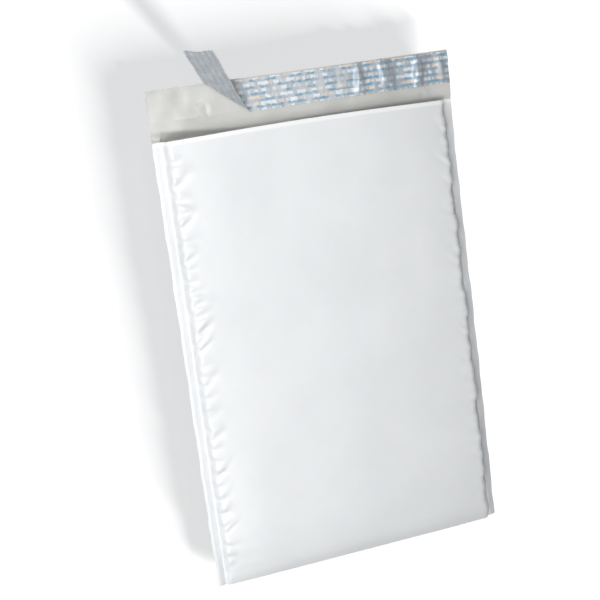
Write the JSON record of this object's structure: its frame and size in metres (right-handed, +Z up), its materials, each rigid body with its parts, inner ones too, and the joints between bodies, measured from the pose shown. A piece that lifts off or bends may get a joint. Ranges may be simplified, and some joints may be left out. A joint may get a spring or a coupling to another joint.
{
  "type": "padded envelope",
  "caption": "White film mailing envelope lined with bubble cushioning, lying flat with its flap open and the release liner partly peeled from the closing strip.",
  "frame": {"origin": "on the flat of the back panel, half way between the side seals and half way between the bottom fold and the mouth", "axes": "+Y from the bottom fold towards the flap, +Z up out of the front panel, +X to the right seen from above"},
  "size_m": [0.216, 0.3607, 0.0432],
  "materials": {
    "film": "satin white outside, silver grey inside",
    "cushioning": "milky translucent film",
    "adhesive": "clear and tacky",
    "liner": "glossy grey film with broken blue bars"
  },
  "bodies": {
    "root": {"outer_film": "film", "bubble_liner": "cushioning", "adhesive_strip": "adhesive", "release_liner": "liner"}
  },
  "joints": []
}
